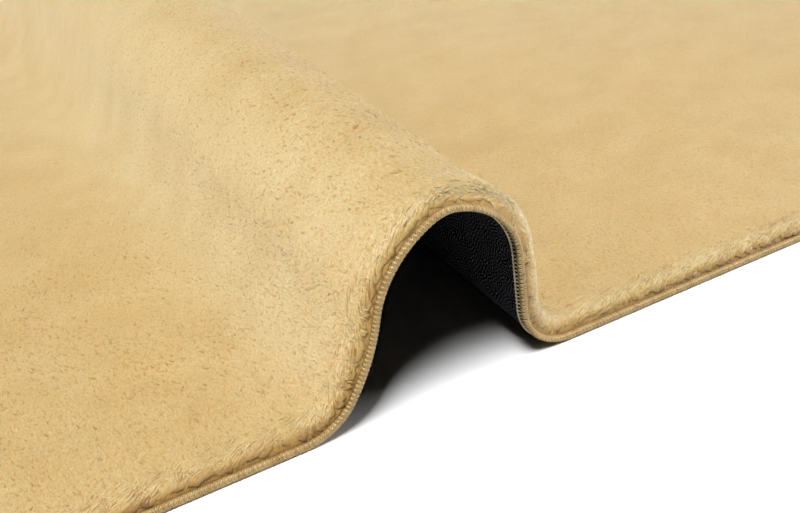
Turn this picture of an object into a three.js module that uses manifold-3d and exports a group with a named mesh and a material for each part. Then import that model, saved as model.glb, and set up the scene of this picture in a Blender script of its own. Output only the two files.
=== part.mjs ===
// A faux fur rug, laid flat with one standing fold across it.
// Millimetres, +Z up. X runs along the rug's length and Y across its depth, front to back.
// Every piece is laid out on the flat rug first, as a place along its length, a place
// across its depth and a height over its underside, and is then bent over the fold.
import * as THREE from "three";
import { mergeVertices } from "three/addons/utils/BufferGeometryUtils.js";
import Module from "manifold-3d";

const wasm = await Module();
wasm.setup();

// The rug as it was cut and bound, lying flat
const flatLength = 1200;
const flatDepth = 800;
const cornerRadius = 24;

// Where the fold starts, from the left edge, along the cloth
const foldStart = 245;

// The underside's bends, from the fold's left foot to its right one: the radius of each,
// and how far the cloth turns in it, upwards being positive, in degrees.
// The straight right flank is as long as it takes to come back down to the floor.
const foldBends = [
  { part: "left foot", radius: 37, turn: 61 },
  { part: "left flank", radius: 135, turn: 22 },
  { part: "left shoulder", radius: 60, turn: -56 },
  { part: "crown", radius: 20, turn: -37 },
  { part: "right shoulder", radius: 53, turn: -71 },
];
const rightFoot = { part: "right foot", radius: 40, turn: 81 };

// Layers, as heights over the underside, and the space left between two pieces
const gap = 0.3;
const backingThickness = 2;
const pileTop = 12.6;
const pileLump = 1.4;
const rimLumpScale = 1.9;

// How far in from the outer edge each piece ends
const backingInset = 2.7;
const bindingWidth = 5.2;
const bindingHeight = 4;
const rimWidth = 12;

// Locks of pile at the rim, which lean out over the binding
const lockPitch = 19;
const lock = {
  width: 9.5,
  thickness: 5.6,
  rootInset: 13,
  bendInset: 5.2,
  tipInset: 1.4,
  tipHeight: 5.2,
};

// How finely the curved stretches are divided
const foldStep = 9.5;
const cornerSteps = 5;
const lumpStep = 27;
const bindingSteps = 8;
const pileRows = 24;

const radians = THREE.MathUtils.degToRad;
const rimStart = bindingWidth + gap;
const rimEnd = rimStart + rimWidth;
const pileInset = rimEnd + gap;
const pileFoot = backingThickness + gap;

// The fold's underside as a chain of bends and straights, each with its own start
const foldPath = [];

function addStretch(stretch) {
  const last = foldPath.at(-1);
  const start = last ? endOf(last) : { along: foldStart, x: foldStart, z: 0, heading: 0 };
  const turned = radians(stretch.turn ?? 0);
  const length = stretch.length ?? stretch.radius * Math.abs(turned);
  foldPath.push({ ...start, length, turned });
}

function placeOn(stretch, distance) {
  const share = distance / stretch.length;
  const heading = stretch.heading + stretch.turned * share;
  const middle = (stretch.heading + heading) / 2;
  const half = (stretch.turned * share) / 2;
  const chord = half === 0 ? distance : (distance * Math.sin(half)) / half;
  return {
    along: stretch.along + distance,
    x: stretch.x + chord * Math.cos(middle),
    z: stretch.z + chord * Math.sin(middle),
    heading,
  };
}

function endOf(stretch) {
  return placeOn(stretch, stretch.length);
}

for (const bend of foldBends) {
  addStretch(bend);
}
const flankTop = endOf(foldPath.at(-1));
const footHeight = rightFoot.radius * (1 - Math.cos(radians(rightFoot.turn)));
addStretch({ length: (flankTop.z - footHeight) / Math.sin(-flankTop.heading) });
addStretch(rightFoot);
const foldEnd = endOf(foldPath.at(-1));
const takenUp = foldEnd.along - foldEnd.x;

// The underside's place and heading at a place along the cloth
function undersideAt(along) {
  if (along <= foldStart) {
    return { x: along, z: 0, heading: 0 };
  }
  if (along >= foldEnd.along) {
    return { x: along - takenUp, z: 0, heading: 0 };
  }
  const stretch = foldPath.findLast((one) => one.along <= along);
  return placeOn(stretch, along - stretch.along);
}

// A point of the flat rug, bent over the fold, with the laid rug's middle at the origin
function laid(along, across, height) {
  const under = undersideAt(along);
  return new THREE.Vector3(
    under.x - height * Math.sin(under.heading) - (flatLength - takenUp) / 2,
    across - flatDepth / 2,
    under.z + height * Math.cos(under.heading),
  );
}

// Places along the cloth where a piece has a row of points: its two ends with their
// round corners, the fold's bends, and flat stretches no longer than a given step
function placesAlong(inset, flatStep) {
  const radius = cornerRadius - inset;
  const places = [];
  for (let i = 0; i <= cornerSteps; i += 1) {
    const turned = radians((90 * i) / cornerSteps);
    places.push(inset + radius * (1 - Math.cos(turned)));
  }
  const corner = [...places];
  fillIn(places, cornerRadius, foldStart, flatStep);
  for (const stretch of foldPath) {
    const steps = Math.max(1, Math.round(Math.abs(THREE.MathUtils.radToDeg(stretch.turned)) / foldStep));
    fillIn(places, stretch.along, stretch.along + stretch.length, stretch.length / steps);
  }
  fillIn(places, foldEnd.along, flatLength - cornerRadius, flatStep);
  for (const place of corner.reverse().slice(1)) {
    places.push(flatLength - place);
  }
  return places;
}

function fillIn(places, from, to, step) {
  const steps = Math.max(1, Math.round((to - from) / step - 1e-6));
  for (let i = 1; i <= steps; i += 1) {
    places.push(from + ((to - from) * i) / steps);
  }
}

// How far a piece's front edge lies from the rug's front edge, at a place along it
function frontAt(along, inset) {
  const fromEnd = Math.min(along, flatLength - along);
  const radius = cornerRadius - inset;
  const back = Math.max(0, cornerRadius - fromEnd);
  return cornerRadius - Math.sqrt(Math.max(0, radius * radius - back * back));
}

// Gentle lumps of the pile, from -1 to 1, a hand's width or less across
function lumpAt(along, across) {
  const broad = Math.sin(along / 23 + 1.7 * Math.sin(across / 61)) * Math.sin(across / 29 + along / 113);
  const small = Math.sin(along / 9.7 - across / 31) * Math.sin(across / 11.3 + along / 47);
  return 0.6 * broad + 0.4 * small;
}

function meshOf(name, points, triangles, material) {
  const geometry = new THREE.BufferGeometry().setFromPoints(points);
  geometry.setIndex(triangles);
  geometry.computeVertexNormals();
  const mesh = new THREE.Mesh(geometry, material);
  mesh.name = name;
  return mesh;
}

// A sheet with round corners, flat below, whose top is as high as topAt says.
// Its underside has two points in each row, and its top has as many as rows asks for.
function sheet(name, { inset, foot, flatStep, rows, topAt }, material) {
  const places = placesAlong(inset, flatStep);
  const points = [];
  const triangles = [];
  const inRow = rows + 3;
  for (const along of places) {
    const front = frontAt(along, inset);
    const back = flatDepth - front;
    points.push(laid(along, front, foot), laid(along, back, foot));
    for (let j = 0; j <= rows; j += 1) {
      const across = front + ((back - front) * j) / rows;
      points.push(laid(along, across, topAt(along, across)));
    }
  }
  const quad = (a, b, c, d) => triangles.push(a, b, c, a, c, d);
  for (let i = 0; i + 1 < places.length; i += 1) {
    const here = i * inRow;
    const next = here + inRow;
    quad(here, here + 1, next + 1, next);
    quad(here, next, next + 2, here + 2);
    quad(here + 1, here + 2 + rows, next + 2 + rows, next + 1);
    for (let j = 2; j < rows + 2; j += 1) {
      quad(here + j, next + j, next + j + 1, here + j + 1);
    }
  }
  closeEnd(0, false);
  closeEnd((places.length - 1) * inRow, true);
  return meshOf(name, points, triangles, material);

  // The end face, between the two points below and the row of points above
  function closeEnd(first, facingRight) {
    const outline = [first, first + 1];
    for (let j = rows; j >= 0; j -= 1) {
      outline.push(first + 2 + j);
    }
    const face = outline.map((k) => new THREE.Vector2(points[k].y, points[k].z));
    for (const [a, b, c] of THREE.ShapeUtils.triangulateShape(face, [])) {
      const corners = facingRight ? [a, b, c] : [a, c, b];
      triangles.push(...corners.map((k) => outline[k]));
    }
  }
}

// Stations round the rug's outer edge, each with the way inwards on the flat rug
function edgeAlong(side) {
  const far = side === "back";
  const onSide = placesAlong(0, flatLength).map((along) => {
    const across = frontAt(along, 0);
    const corner = Math.min(Math.max(along, cornerRadius), flatLength - cornerRadius);
    const inward = new THREE.Vector2(corner - along, cornerRadius - across).normalize();
    return { along, across, inward };
  });
  if (!far) {
    return onSide;
  }
  return onSide.reverse().map(({ along, across, inward }) => ({
    along,
    across: flatDepth - across,
    inward: new THREE.Vector2(inward.x, -inward.y),
  }));
}

function edgeAcross(side, steps) {
  const left = side === "left";
  const stations = [];
  for (let i = 0; i <= steps; i += 1) {
    const reach = flatDepth - 2 * (cornerRadius + gap);
    const across = cornerRadius + gap + (reach * (left ? steps - i : i)) / steps;
    stations.push({
      along: left ? 0 : flatLength,
      across,
      inward: new THREE.Vector2(left ? 1 : -1, 0),
    });
  }
  return stations;
}

function atStation(station, inset, height) {
  const along = station.along + station.inward.x * inset;
  const across = station.across + station.inward.y * inset;
  return laid(along, across, height);
}

// A section carried along stations: a closed ring, or a strip with its two ends closed
function swept(stations, sectionAt, ring) {
  const points = [];
  const triangles = [];
  let count = 0;
  for (const station of stations) {
    const section = sectionAt(station);
    count = section.length;
    points.push(...section.map(({ inset, height }) => atStation(station, inset, height)));
  }
  const turns = ring ? stations.length : stations.length - 1;
  for (let i = 0; i < turns; i += 1) {
    const here = i * count;
    const next = ((i + 1) % stations.length) * count;
    for (let k = 0; k < count; k += 1) {
      const m = (k + 1) % count;
      triangles.push(here + k, next + k, next + m, here + k, next + m, here + m);
    }
  }
  if (!ring) {
    const face = sectionAt(stations[0]).map(({ inset, height }) => new THREE.Vector2(inset, height));
    const last = (stations.length - 1) * count;
    for (const [a, b, c] of THREE.ShapeUtils.triangulateShape(face, [])) {
      triangles.push(a, c, b);
      triangles.push(last + a, last + b, last + c);
    }
  }
  return { points, triangles };
}

// The rim strip's section, from its inner foot on the binding's side, over its bulge above
// the binding, to its far foot, each height over the underside
function rimSection(station) {
  const lump = pileLump * lumpAt(station.along * rimLumpScale, station.across * rimLumpScale);
  return [
    { inset: rimStart, height: pileFoot },
    { inset: rimStart, height: bindingHeight + 0.8 },
    { inset: rimStart - 2.6, height: bindingHeight + 1.9 },
    { inset: rimStart - 1.4, height: pileTop - 3.4 + lump / 3 },
    { inset: rimStart + 4, height: pileTop - 0.9 + lump },
    { inset: rimEnd, height: pileTop - 0.4 + lump / 2 },
    { inset: rimEnd, height: pileFoot },
  ];
}

// The binding's section: an oval roll of yarn over the edge, whose underside stops at the
// backing's edge and leaves a step for it
function bindingSection() {
  const half = bindingWidth / 2;
  const middle = (gap + bindingHeight) / 2;
  const notch = backingInset - gap;
  const from = Math.asin((half - notch) / half);
  const to = 2 * Math.PI - Math.acos((middle - pileFoot) / (middle - gap));
  const section = [];
  for (let i = 0; i <= bindingSteps; i += 1) {
    const turned = THREE.MathUtils.lerp(from, to, i / bindingSteps);
    section.push({
      inset: half - half * Math.sin(turned),
      height: middle - (middle - gap) * Math.cos(turned),
    });
  }
  section.push({ inset: notch, height: pileFoot });
  return section;
}

// One lock: three-sided, bent once, from its root inside the strip to its drooping tip
function lockAt(station, index) {
  const lean = 0.8 * Math.sin(index * 2.4);
  const size = 1 + 0.18 * Math.sin(index * 1.7 + 0.6);
  const side = new THREE.Vector2(-station.inward.y, station.inward.x);
  const spot = (inset, sideways, height) => {
    const along = station.along + station.inward.x * inset + side.x * sideways;
    const across = station.across + station.inward.y * inset + side.y * sideways;
    return laid(along, across, height);
  };
  const half = (lock.width * size) / 2;
  const thick = lock.thickness * size;
  const bendHeight = pileTop - 0.6 + 0.6 * lean;
  const points = [
    spot(lock.rootInset, -half * 0.7, pileTop - 4.5),
    spot(lock.rootInset, half * 0.7, pileTop - 4.5),
    spot(lock.rootInset, 0, pileTop - 1.6),
    spot(lock.bendInset, -half + lean, bendHeight - thick),
    spot(lock.bendInset, half + lean, bendHeight - thick),
    spot(lock.bendInset - 0.8, lean, bendHeight),
    spot(lock.tipInset + 0.7 * lean, 2.2 * lean, lock.tipHeight + 0.5 * Math.abs(lean)),
  ];
  const triangles = [0, 1, 2];
  for (const [a, b] of [[0, 1], [1, 2], [2, 0]]) {
    triangles.push(b, a, a + 3, b, a + 3, b + 3, b + 3, a + 3, 6);
  }
  return { points, triangles };
}

function solidOf({ points, triangles }) {
  const geometry = new THREE.BufferGeometry().setFromPoints(points);
  geometry.setIndex(triangles);
  const merged = mergeVertices(geometry, 1e-4);
  const solid = new wasm.Manifold(
    new wasm.Mesh({
      numProp: 3,
      vertProperties: merged.attributes.position.array,
      triVerts: new Uint32Array(merged.index.array),
    }),
  );
  if (solid.volume() < 0) {
    throw new Error("a rim solid is inside out");
  }
  return solid;
}

// Evenly spaced stations, about a lock's pitch apart, on the line that the given ones make
function lockStations(stations) {
  const lengths = stations.slice(1).map((to, i) => {
    const from = stations[i];
    return Math.hypot(to.along - from.along, to.across - from.across);
  });
  const whole = lengths.reduce((sum, length) => sum + length, 0);
  const count = Math.floor(whole / lockPitch);
  const spots = [];
  let walked = 0;
  let i = 0;
  for (let k = 0; k < count; k += 1) {
    const due = ((k + 0.5) * whole) / count;
    while (walked + lengths[i] < due) {
      walked += lengths[i];
      i += 1;
    }
    const share = (due - walked) / lengths[i];
    const from = stations[i];
    const to = stations[i + 1];
    spots.push({
      along: THREE.MathUtils.lerp(from.along, to.along, share),
      across: THREE.MathUtils.lerp(from.across, to.across, share),
      inward: from.inward.clone().lerp(to.inward, share).normalize(),
    });
  }
  return spots;
}

// A narrow strip of pile along one edge, with the locks rooted in it
function rimStrip(name, stations, firstLock, material) {
  let solid = solidOf(swept(stations, rimSection, false));
  lockStations(stations).forEach((station, i) => {
    solid = solid.add(solidOf(lockAt(station, firstLock + i)));
  });
  const made = solid.getMesh();
  const points = [];
  for (let i = 0; i < made.numVert; i += 1) {
    points.push(new THREE.Vector3().fromArray(made.vertProperties, i * made.numProp));
  }
  return meshOf(name, points, [...made.triVerts], material);
}

const plush = new THREE.MeshStandardMaterial({ color: 0xe3c68c, roughness: 0.95, metalness: 0 });
const plushRim = new THREE.MeshStandardMaterial({ color: 0xdcbd84, roughness: 0.95, metalness: 0 });
const yarn = new THREE.MeshStandardMaterial({ color: 0xc9a873, roughness: 0.55, metalness: 0 });
const rubber = new THREE.MeshStandardMaterial({ color: 0x17171a, roughness: 0.8, metalness: 0 });

const backing = sheet(
  "backing",
  {
    inset: backingInset,
    foot: 0,
    flatStep: flatLength,
    rows: 1,
    topAt: () => backingThickness,
  },
  rubber,
);

const pile = sheet(
  "pile",
  {
    inset: pileInset,
    foot: pileFoot,
    flatStep: lumpStep,
    rows: pileRows,
    topAt: (along, across) => pileTop + pileLump * lumpAt(along, across),
  },
  plush,
);

const frontEdge = edgeAlong("front");
const backEdge = edgeAlong("back");
const bindingRing = swept([...frontEdge, ...backEdge], bindingSection, true);
const binding = meshOf("binding", bindingRing.points, bindingRing.triangles, yarn);

const rug = new THREE.Group();
rug.add(backing, pile, binding);
rug.add(rimStrip("rim_front", frontEdge, 0, plushRim));
rug.add(rimStrip("rim_back", backEdge, 40, plushRim));
rug.add(rimStrip("rim_left", edgeAcross("left", pileRows), 80, plushRim));
rug.add(rimStrip("rim_right", edgeAcross("right", pileRows), 120, plushRim));

export default rug;
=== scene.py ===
import math

import bpy
import numpy as np
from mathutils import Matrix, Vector


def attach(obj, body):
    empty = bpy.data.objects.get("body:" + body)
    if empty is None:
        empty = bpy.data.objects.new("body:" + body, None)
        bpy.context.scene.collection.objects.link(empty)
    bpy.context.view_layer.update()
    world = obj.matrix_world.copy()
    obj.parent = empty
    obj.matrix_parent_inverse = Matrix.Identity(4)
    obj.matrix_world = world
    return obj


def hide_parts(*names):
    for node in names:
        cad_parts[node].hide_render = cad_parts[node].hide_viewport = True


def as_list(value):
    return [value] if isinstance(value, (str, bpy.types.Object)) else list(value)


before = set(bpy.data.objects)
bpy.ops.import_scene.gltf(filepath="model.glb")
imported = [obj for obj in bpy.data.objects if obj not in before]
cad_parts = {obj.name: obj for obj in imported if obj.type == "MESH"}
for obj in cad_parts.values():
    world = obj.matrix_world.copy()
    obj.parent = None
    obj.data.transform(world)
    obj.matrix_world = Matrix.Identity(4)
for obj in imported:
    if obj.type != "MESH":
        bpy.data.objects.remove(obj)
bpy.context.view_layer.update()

# Faux fur rug with a short plush pile and an overlocked edge, lying flat with one standing fold.
# Metres, +Z up. Pieces are laid out on the flat rug first, as a place along it, a place across
# it and a height over its underside, and are then bent over the fold.

# The cloth, as it was cut and bound: flat sizes, and the underside's bends from the fold's left foot to
# its right one, as radius and degrees turned. The straight right flank comes back down to the floor.
cloth = dict(
    length=1.200, depth=0.800, corner=0.024, foldStart=0.245,
    bends=[(0.037, 61), (0.135, 22), (0.060, -56), (0.020, -37), (0.053, -71)],
    rightFoot=(0.040, 81),
)


def foldStretches():
    # each stretch: where it starts along the cloth, its x, z and heading there, and how sharply it turns
    rows = [(0.0, 0.0, 0.0, 0.0, 0.0)]
    along, x, z, heading = cloth["foldStart"], cloth["foldStart"], 0.0, 0.0

    def add(length, curve):
        nonlocal along, x, z, heading
        rows.append((along, x, z, heading, curve))
        half = curve * length / 2
        chord = length * np.sinc(half / math.pi)
        x += chord * math.cos(heading + half)
        z += chord * math.sin(heading + half)
        heading += 2 * half
        along += length

    for radius, turn in cloth["bends"]:
        add(radius * math.radians(abs(turn)), math.copysign(1 / radius, turn))
    radius, turn = cloth["rightFoot"]
    drop = radius * (1 - math.cos(math.radians(turn)))
    add((z - drop) / math.sin(-heading), 0.0)
    add(radius * math.radians(turn), 1 / radius)
    rows.append((along, x, 0.0, 0.0, 0.0))
    return np.array(rows)


stretches = foldStretches()
laidLength = cloth["length"] - (stretches[-1, 0] - stretches[-1, 1])
flatSize = np.array([cloth["length"], cloth["depth"]])


def stretchAt(along):
    return stretches[np.clip(np.searchsorted(stretches[:, 0], along, side="right") - 1, 0, None)]


def bendOver(flat):
    # flat points as rows of along, across, height
    along, across, height = np.asarray(flat, float).T
    row = stretchAt(along)
    gone = along - row[:, 0]
    half = row[:, 4] * gone / 2
    chord = gone * np.sinc(half / math.pi)
    heading = row[:, 3] + 2 * half
    x = row[:, 1] + chord * np.cos(row[:, 3] + half)
    z = row[:, 2] + chord * np.sin(row[:, 3] + half)
    return np.stack([
        x - height * np.sin(heading) - laidLength / 2,
        across - cloth["depth"] / 2,
        z + height * np.cos(heading),
    ], axis=1)


def headingAt(along):
    row = stretchAt(along)
    return row[:, 3] + row[:, 4] * (along - row[:, 0])


def insetAt(along, across):
    # how far a flat place lies in from the rug's outer edge, round corners included
    half = flatSize / 2 - cloth["corner"]
    out = np.abs(np.stack([along - cloth["length"] / 2, across - cloth["depth"] / 2], -1)) - half
    beyond = np.hypot(*np.maximum(out, 0).T).T
    return cloth["corner"] - np.where((out > 0).any(-1), beyond, out.max(-1))


def smooth(low, high, value):
    # rises gently from 0 to 1 between these two
    share = np.clip((value - low) / (high - low), 0, 1)
    return share * share * (3 - 2 * share)


def unit(rows):
    return rows / np.linalg.norm(rows, axis=-1)[..., None]


def between(value, rise, fall):
    # rises from 0 to 1 over the first pair and falls back to 0 over the second
    return smooth(*rise, value) * (1 - smooth(*fall, value))


noiseField = (1.5, 1.1)  # a little more than the rug


def valueNoise(along, across, size, seed):
    # smooth random heights from -1 to 1 on a lattice of this size
    count = [int(reach / size) + 4 for reach in noiseField]
    cells = np.random.default_rng(seed).uniform(-1, 1, count)
    u, v = along / size + 1, across / size + 1
    i, j = np.floor(u).astype(int), np.floor(v).astype(int)
    a, b = smooth(0, 1, u - i), smooth(0, 1, v - j)
    near = cells[i, j] * (1 - b) + cells[i, j + 1] * b
    far = cells[i + 1, j] * (1 - b) + cells[i + 1, j + 1] * b
    return near * (1 - a) + far * a


# Round the edge: a place on the rug's outline, the way out from it and the way along it
straight = flatSize - 2 * cloth["corner"]
quarter = cloth["corner"] * math.pi / 2
edgeLength = 2 * straight.sum() + 4 * quarter


def edgeAt(walked):
    # walks the front from left to right, then the right side, the back and the left side
    walked = np.asarray(walked, float) % edgeLength
    place, out, way = (np.zeros((len(walked), 3)) for _ in range(3))
    middle = flatSize / 2
    start = 0.0
    for side, long in enumerate([straight[0], straight[1]] * 2):
        turn = side * math.pi / 2
        forward = np.array([math.cos(turn), math.sin(turn)])
        outward = np.array([math.sin(turn), -math.cos(turn)])
        half = middle[side % 2 - 1]  # from the middle out to this side
        on = (walked >= start) & (walked < start + long)
        step = walked[on] - start - long / 2
        place[on, :2] = middle + outward * half + step[:, None] * forward
        out[on, :2], way[on, :2] = outward, forward
        start += long
        on = (walked >= start) & (walked < start + quarter)
        angle = (walked[on] - start) / cloth["corner"]
        outs = np.cos(angle)[:, None] * outward + np.sin(angle)[:, None] * forward
        centre = middle + outward * (half - cloth["corner"]) + forward * long / 2
        place[on, :2] = centre + outs * cloth["corner"]
        out[on, :2] = outs
        way[on, :2] = np.cos(angle)[:, None] * forward - np.sin(angle)[:, None] * outward
        start += quarter
    return place, out, way


# Materials

def linear(code):
    parts = [int(code[i:i + 2], 16) / 255 for i in (1, 3, 5)]
    return tuple(p / 12.92 if p <= 0.04045 else ((p + 0.055) / 1.055) ** 2.4 for p in parts) + (1.0,)


def setInputs(tree, node, inputs):
    # each input by its name or number, with a value or another node's output
    for name, value in inputs.items():
        if isinstance(value, bpy.types.NodeSocket):
            tree.links.new(value, node.inputs[name])
        else:
            node.inputs[name].default_value = value


def addNode(tree, kind, inputs=(), stops=(), output=0, **properties):
    # gives one of the node's outputs; stops are a colour ramp's, as place and colour
    node = tree.nodes.new("ShaderNode" + kind)
    for name, value in properties.items():
        setattr(node, name, value)
    setInputs(tree, node, dict(inputs))
    points = node.color_ramp.elements if stops else ()
    while len(points) < len(stops):
        points.new(0.5)
    for point, (place, code) in zip(points, stops):
        point.position = place
        point.color = linear(code)
    return node.outputs[output]


def newMaterial(name):
    material = bpy.data.materials.new(name)
    material.use_nodes = True
    tree = material.node_tree
    return material, tree, tree.nodes["Principled BSDF"]


def attributes(tree, *names):
    return [addNode(tree, "Attribute", output="Fac", attribute_name=name) for name in names]


def tinted(tree, colour, tints):
    # a colour multiplied by a ramp for each value
    for value, stops in tints:
        inputs = {0: 1.0, 6: colour, 7: addNode(tree, "ValToRGB", {"Fac": value}, stops)}
        colour = addNode(tree, "Mix", inputs, output=2, data_type="RGBA", blend_type="MULTIPLY")
    return colour


napTurn = math.radians(2)  # how far the pile lies over to the left of straight back

# Brushed polyester plush, seen from above: the ends of dense fibres, matt and soft. Light goes through many
# of them, so that it spreads; where the pile parts, a warmer, darker colour is painted shade. The grain is
# about a fibre bundle, 1 by 2.6 mm, and the partings are 1.5 by 4 mm.
plushLook = dict(
    # marks: how wide, how long along the nap, and the noise's settings
    marks=dict(
        grain=((0.0010, 0.0026), {"Detail": 3.0, "Roughness": 0.6, "Distortion": 0.3}),
        patch=((0.045, 0.030), {}),
        parting=((0.0015, 0.0040), {"Detail": 1.0, "Distortion": 0.6}),
    ),
    calm={"From Min": 0.10, "From Max": 0.55, "To Max": 0.75},  # the pile lies smoother further back
    ends=[(0.25, "#b39765"), (0.5, "#c2ab7d"), (0.75, "#cdba92")],
    tuftEnds=[(0.25, "#c1ab7b"), (0.5, "#cbbd93"), (0.75, "#d3c9a6")],
    # by tone: random for each lock, and for rim and loose locks also painted shade on their sides and
    # painted light on their crests
    tufts=[(0.0, "#cbb285"), (0.5, "#f5efe2"), (1.0, "#ffffff")],
    patches=[(0.3, "#f6f1e6"), (0.7, "#ffffff")],
    # by paintedLight: painted shade in the depth of the pile, on the sides of tufts and locks, and by the
    # binding
    paintedShadeTint=[(0.0, "#c2a878"), (0.5, "#f0e2bc"), (1.0, "#ffffff")],
    # by paintedSheen: painted sheen, paler where it is 1
    paintedSheen=[(0.0, "#faf0de"), (1.0, "#ffffff")],
    parted={"From Min": 0.61, "From Max": 0.71, "To Max": 0.85},  # at these heights of the noise
    # painted shade: the warm, darker colour shown in the partings
    partingShadeColour="#b98f3e",
    relief={"Strength": 0.35, "Distance": 0.0005},
    pits={"Strength": 0.5, "Distance": 0.0007},
    gloss={"Roughness": 0.5, "IOR": 1.5, "Specular IOR Level": 0.7,
           "Sheen Weight": 0.5, "Sheen Roughness": 0.4},
    soft={"Subsurface Weight": 1.0, "Subsurface Radius": (1.0, 0.55, 0.28), "Subsurface Scale": 0.0012},
)


def plushGrain(tree, shader, ends):
    # fibre ends, larger patches, painted shade in the partings, and the painted shade and painted sheen
    # carried by paintedLight and paintedSheen; gives the colour, and the relief to the shader
    look = plushLook
    place = addNode(tree, "UVMap", uv_map="clothPlace")
    marks = {}
    for name, (size, settings) in look["marks"].items():
        inputs = {"Vector": place, "Rotation": (0, 0, napTurn), "Scale": (*size, 1)}
        laid = addNode(tree, "Mapping", inputs, vector_type="TEXTURE")
        marks[name] = addNode(tree, "TexNoise", {"Vector": laid, "Scale": 1.0, **settings})
    back = addNode(tree, "SeparateXYZ", {"Vector": place}, output="Y")
    calm = addNode(tree, "MapRange", {"Value": back, **look["calm"]})
    depth = addNode(tree, "MapRange", {"Value": marks["parting"], **look["parted"]})
    inputs = {0: calm, 6: addNode(tree, "ValToRGB", {"Fac": marks["grain"]}, ends), 7: linear(ends[1][1])}
    colour = addNode(tree, "Mix", inputs, output=2, data_type="RGBA")
    paintedLight, paintedSheen = attributes(tree, "paintedLight", "paintedSheen")
    tints = [(marks["patch"], look["patches"]), (paintedLight, look["paintedShadeTint"]), (paintedSheen, look["paintedSheen"])]
    colour = tinted(tree, colour, tints)
    relief = addNode(tree, "Bump", {"Height": marks["grain"], **look["relief"]})
    pits = addNode(tree, "Bump", {"Height": depth, "Normal": relief, **look["pits"]}, invert=True)
    setInputs(tree, shader, {"Normal": pits, **look["gloss"]})
    loose = addNode(tree, "Math", {0: 1.0, 1: calm}, operation="SUBTRACT")
    shown = addNode(tree, "Math", {0: loose, 1: depth}, operation="MULTIPLY")
    inputs = {0: shown, 6: colour, 7: linear(look["partingShadeColour"])}
    return addNode(tree, "Mix", inputs, output=2, data_type="RGBA")


def plushMaterial():
    material, tree, shader = newMaterial("brushedPolyesterPlush")
    colour = plushGrain(tree, shader, plushLook["ends"])
    shader.subsurface_method = "BURLEY"
    setInputs(tree, shader, {"Base Color": colour, **plushLook["soft"]})
    return material


# The same fibres as tufts and locks: pale, slightly shiny ends, with painted shade that makes their roots
# and sides warmer and darker
def fibreMaterial():
    material, tree, shader = newMaterial("brushedPolyesterFibres")
    colour = plushGrain(tree, shader, plushLook["tuftEnds"])
    colour = tinted(tree, colour, [(attributes(tree, "tone")[0], plushLook["tufts"])])
    setInputs(tree, shader, {"Base Color": colour})
    return material


# Textured polyester overlock yarn: tan and gold, slightly shiny along each turn. Its colour carries painted
# light: a painted highlight on each turn's crest and painted shade at its sides and underneath; its plies
# show as fine streaks of painted light and shade, over a bump for their relief
yarnLook = dict(
    twists=7,  # of the plies over the length of one turn
    plies=2,  # beside each other
    # by paintedLight: near black for the core, then painted shade up to a painted highlight
    crest=[(0.0, "#15110c"), (0.2, "#8f7448"), (0.4, "#b69e6c"), (0.8, "#cfbb8c"), (1.0, "#efe6d0")],
    turns=[(0.0, "#e4d9c6"), (1.0, "#ffffff")],
    streaks=[(0.0, "#e6dac4"), (1.0, "#ffffff")],
    relief={"Strength": 0.4, "Distance": 0.0002},
    gloss={"Roughness": 0.36, "IOR": 1.5, "Specular IOR Level": 0.6},
)


def yarnMaterial():
    material, tree, shader = newMaterial("texturedPolyesterYarn")
    look, around = yarnLook, 2 * math.pi
    tone, paintedLight, ply, run = attributes(tree, "tone", "paintedLight", "ply", "run")
    twist = addNode(tree, "Math", {0: run, 1: around * look["twists"]}, operation="MULTIPLY")
    phase = addNode(tree, "Math", {0: ply, 1: around * look["plies"], 2: twist}, operation="MULTIPLY_ADD")
    plies = addNode(tree, "Math", {0: phase}, operation="SINE")
    colour = addNode(tree, "ValToRGB", {"Fac": paintedLight}, look["crest"])
    colour = tinted(tree, colour, [(tone, look["turns"]), (plies, look["streaks"])])
    relief = addNode(tree, "Bump", {"Height": plies, **look["relief"]})
    setInputs(tree, shader, {"Base Color": colour, "Normal": relief, **look["gloss"]})
    return material


# Black latex anti-slip back: matt, moulded in fine wandering ridges 2.2 mm apart whose tops
# catch a little grey light
backLook = dict(
    cell=0.0085,  # how far a ridge runs before it turns
    ridge=0.0022,
    ridges=[(0.38, "#000000"), (0.5, "#58585d"), (0.62, "#000000")],
    relief={"Strength": 0.5, "Distance": 0.0005},
    gloss={"Roughness": 0.8, "IOR": 1.5, "Specular IOR Level": 0.01},
)


def backMaterial():
    material, tree, shader = newMaterial("blackLatexBack")
    look = backLook
    place = addNode(tree, "UVMap", uv_map="clothPlace")
    waves = {"Scale": 1 / look["cell"], "Frequency": look["cell"] / look["ridge"], "Anisotropy": 0.0}
    maze = addNode(tree, "TexGabor", {"Vector": place, **waves}, output="Phase", gabor_type="2D")
    ridges = addNode(tree, "ValToRGB", {"Fac": maze}, look["ridges"])
    relief = addNode(tree, "Bump", {"Height": ridges, **look["relief"]})
    setInputs(tree, shader, {"Base Color": ridges, "Normal": relief, **look["gloss"]})
    return material


plush = plushMaterial()
fibres = fibreMaterial()
yarn = yarnMaterial()
blackBack = backMaterial()


# Making meshes

def addObject(name, data):
    made = bpy.data.objects.new(name, data)
    bpy.context.scene.collection.objects.link(made)
    return made


def meshPiece(name, points, faces, material):
    # points as rows, faces as rows of three corners
    mesh = bpy.data.meshes.new(name)
    mesh.vertices.add(len(points))
    mesh.vertices.foreach_set("co", np.asarray(points, np.float32).ravel())
    faces = np.asarray(faces, np.int32)
    mesh.loops.add(faces.size)
    mesh.loops.foreach_set("vertex_index", faces.ravel())
    mesh.polygons.add(len(faces))
    mesh.polygons.foreach_set("loop_start", np.arange(0, faces.size, 3, dtype=np.int32))
    mesh.polygons.foreach_set("use_smooth", np.ones(len(faces), bool))
    mesh.update(calc_edges=True)
    mesh.materials.append(material)
    return addObject(name, mesh)


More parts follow.
